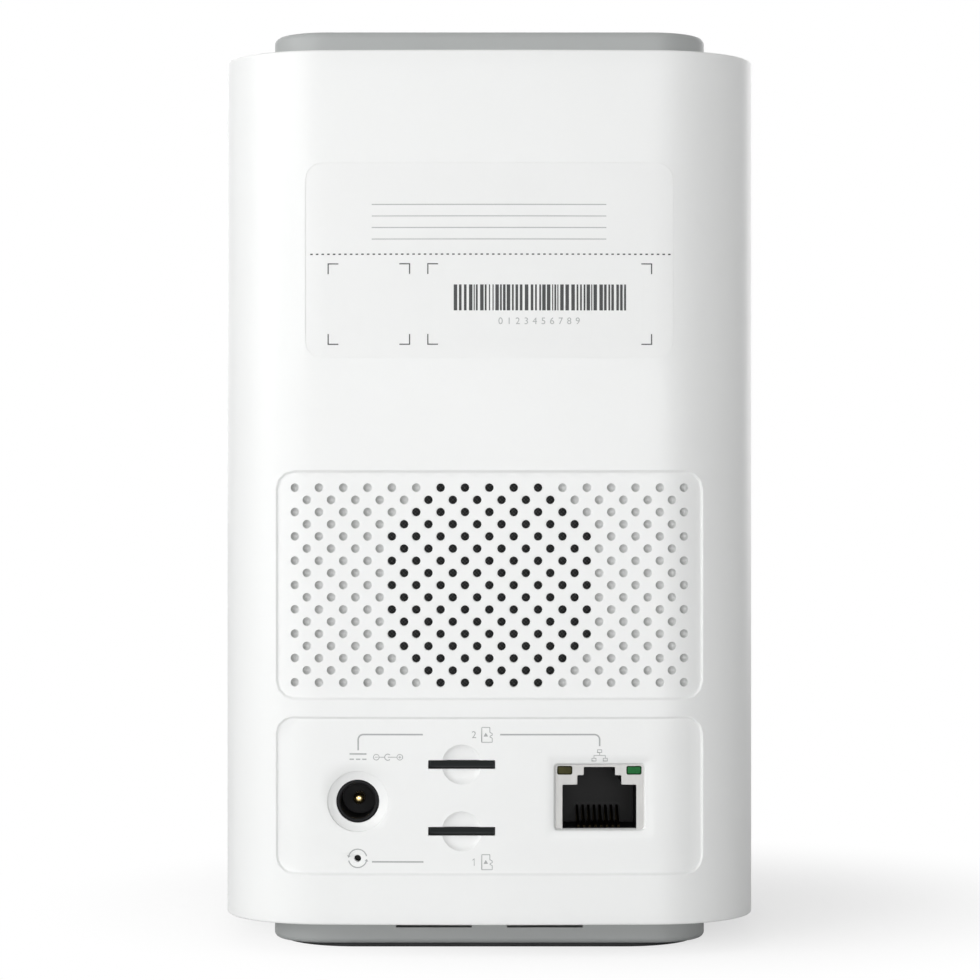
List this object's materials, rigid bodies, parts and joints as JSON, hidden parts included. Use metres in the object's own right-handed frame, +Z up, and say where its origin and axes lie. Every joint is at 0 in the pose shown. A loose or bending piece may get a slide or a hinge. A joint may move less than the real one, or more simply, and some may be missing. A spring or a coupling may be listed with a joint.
{
  "type": "security camera base station",
  "caption": "White rounded tower base station with grey cap and plinth, rear speaker grille, and a rear panel of power, card, reset and network ports.",
  "frame": {"origin": "on the ground under the centre of the rubber foot", "axes": "+Z up, -Y out of the back where the ports are, +Y towards the front with the status light"},
  "size_m": [0.0964, 0.0964, 0.1638],
  "materials": {
    "white_shell": "white moulded, satin sheen",
    "label_film": "pale printed film",
    "grey_plastic": "light grey moulded",
    "foot_rubber": "dark grey rubber",
    "screw_steel": "zinc plated",
    "chassis_plastic": "black moulded",
    "circuit_board": "green solder mask",
    "black_plastic": "black moulded",
    "soft_pad": "soft grey silicone",
    "sink_aluminium": "extruded",
    "nickel_sheet": "nickel plated sheet",
    "jack_sheet": "matt nickel plated sheet",
    "gold_contact": "gold flashed",
    "amber_window": "unlit olive lens",
    "green_window": "green lens",
    "speaker_mesh": "fine black mesh",
    "foam": "closed cell foam",
    "basket_steel": "pressed steel",
    "magnet_ferrite": "dark ferrite",
    "cone_paper": "treated paper",
    "coil_copper": "enamelled copper",
    "suspension_cloth": "rubber edge and cloth spider",
    "cable_jacket": "black jacket",
    "lamp_white": "lamp body",
    "clear_acrylic": "frosted clear"
  },
  "bodies": {
    "housing": {"antenna_cables": "cable_jacket", "antenna_carrier": "chassis_plastic", "antenna_screws": "screw_steel", "antennas": "gold_contact", "base_screws": "screw_steel", "base_tray": "grey_plastic", "board_chassis": "chassis_plastic", "board_chips": "black_plastic", "board_plugs": "black_plastic", "board_screws": "screw_steel", "chassis_screws": "screw_steel", "dc_jack_contact": "gold_contact", "dc_jack_housing": "black_plastic", "dc_jack_pin": "gold_contact", "ethernet_jack_contacts": "gold_contact", "ethernet_jack_insert": "black_plastic", "ethernet_jack_shell": "jack_sheet", "heat_sink": "sink_aluminium", "jack_light_left": "amber_window", "jack_light_right": "green_window", "light_pipe": "clear_acrylic", "main_board": "circuit_board", "outer_sleeve": "white_shell", "port_panel": "white_shell", "power_parts": "black_plastic", "processor_chip": "black_plastic", "rear_grille_panel": "white_shell", "rear_label": "label_film", "reset_dome": "nickel_sheet", "reset_switch_body": "black_plastic", "riser_board": "circuit_board", "riser_connector": "black_plastic", "riser_standoffs": "nickel_sheet", "rubber_foot": "foot_rubber", "sd_socket_base_lower": "black_plastic", "sd_socket_base_upper": "black_plastic", "sd_socket_shell_lower": "nickel_sheet", "sd_socket_shell_upper": "nickel_sheet", "sd_spring_lower": "nickel_sheet", "sd_spring_upper": "nickel_sheet", "shield_cans": "nickel_sheet", "speaker_basket": "basket_steel", "speaker_box_front": "chassis_plastic", "speaker_box_rear": "chassis_plastic", "speaker_cloth": "speaker_mesh", "speaker_gasket": "foam", "speaker_lead": "cable_jacket", "speaker_magnet": "magnet_ferrite", "speaker_screws": "screw_steel", "speaker_suspension": "suspension_cloth", "speaker_top_plate": "basket_steel", "speaker_yoke": "basket_steel", "status_led": "lamp_white", "thermal_pad": "soft_pad", "top_cap": "grey_plastic"},
    "reset_button": {"reset_plunger": "black_plastic"},
    "card_catch_lower": {"sd_slider_lower": "black_plastic"},
    "card_catch_upper": {"sd_slider_upper": "black_plastic"},
    "speaker_cone": {"speaker_cone": "cone_paper", "voice_coil": "coil_copper"}
  },
  "joints": [
    {"name": "reset_press", "type": "slide", "parent": "housing", "child": "reset_button", "axis": [0, 1, 0], "range_m": [0, 0.00025], "stiffness_N_per_m": 2500, "springref_m": -0.0002, "deforming": ["reset_dome"]},
    {"name": "card_push_lower", "type": "slide", "parent": "housing", "child": "card_catch_lower", "axis": [0, 1, 0], "range_m": [0, 0.003], "stiffness_N_per_m": 150, "springref_m": -0.002, "deforming": ["sd_spring_lower"]},
    {"name": "card_push_upper", "type": "slide", "parent": "housing", "child": "card_catch_upper", "axis": [0, 1, 0], "range_m": [0, 0.003], "stiffness_N_per_m": 150, "springref_m": -0.002, "deforming": ["sd_spring_upper"]},
    {"name": "cone_travel", "type": "slide", "parent": "housing", "child": "speaker_cone", "axis": [0, 1, 0], "range_m": [-0.0008, 0.0008], "stiffness_N_per_m": 800, "deforming": ["speaker_suspension"]}
  ]
}
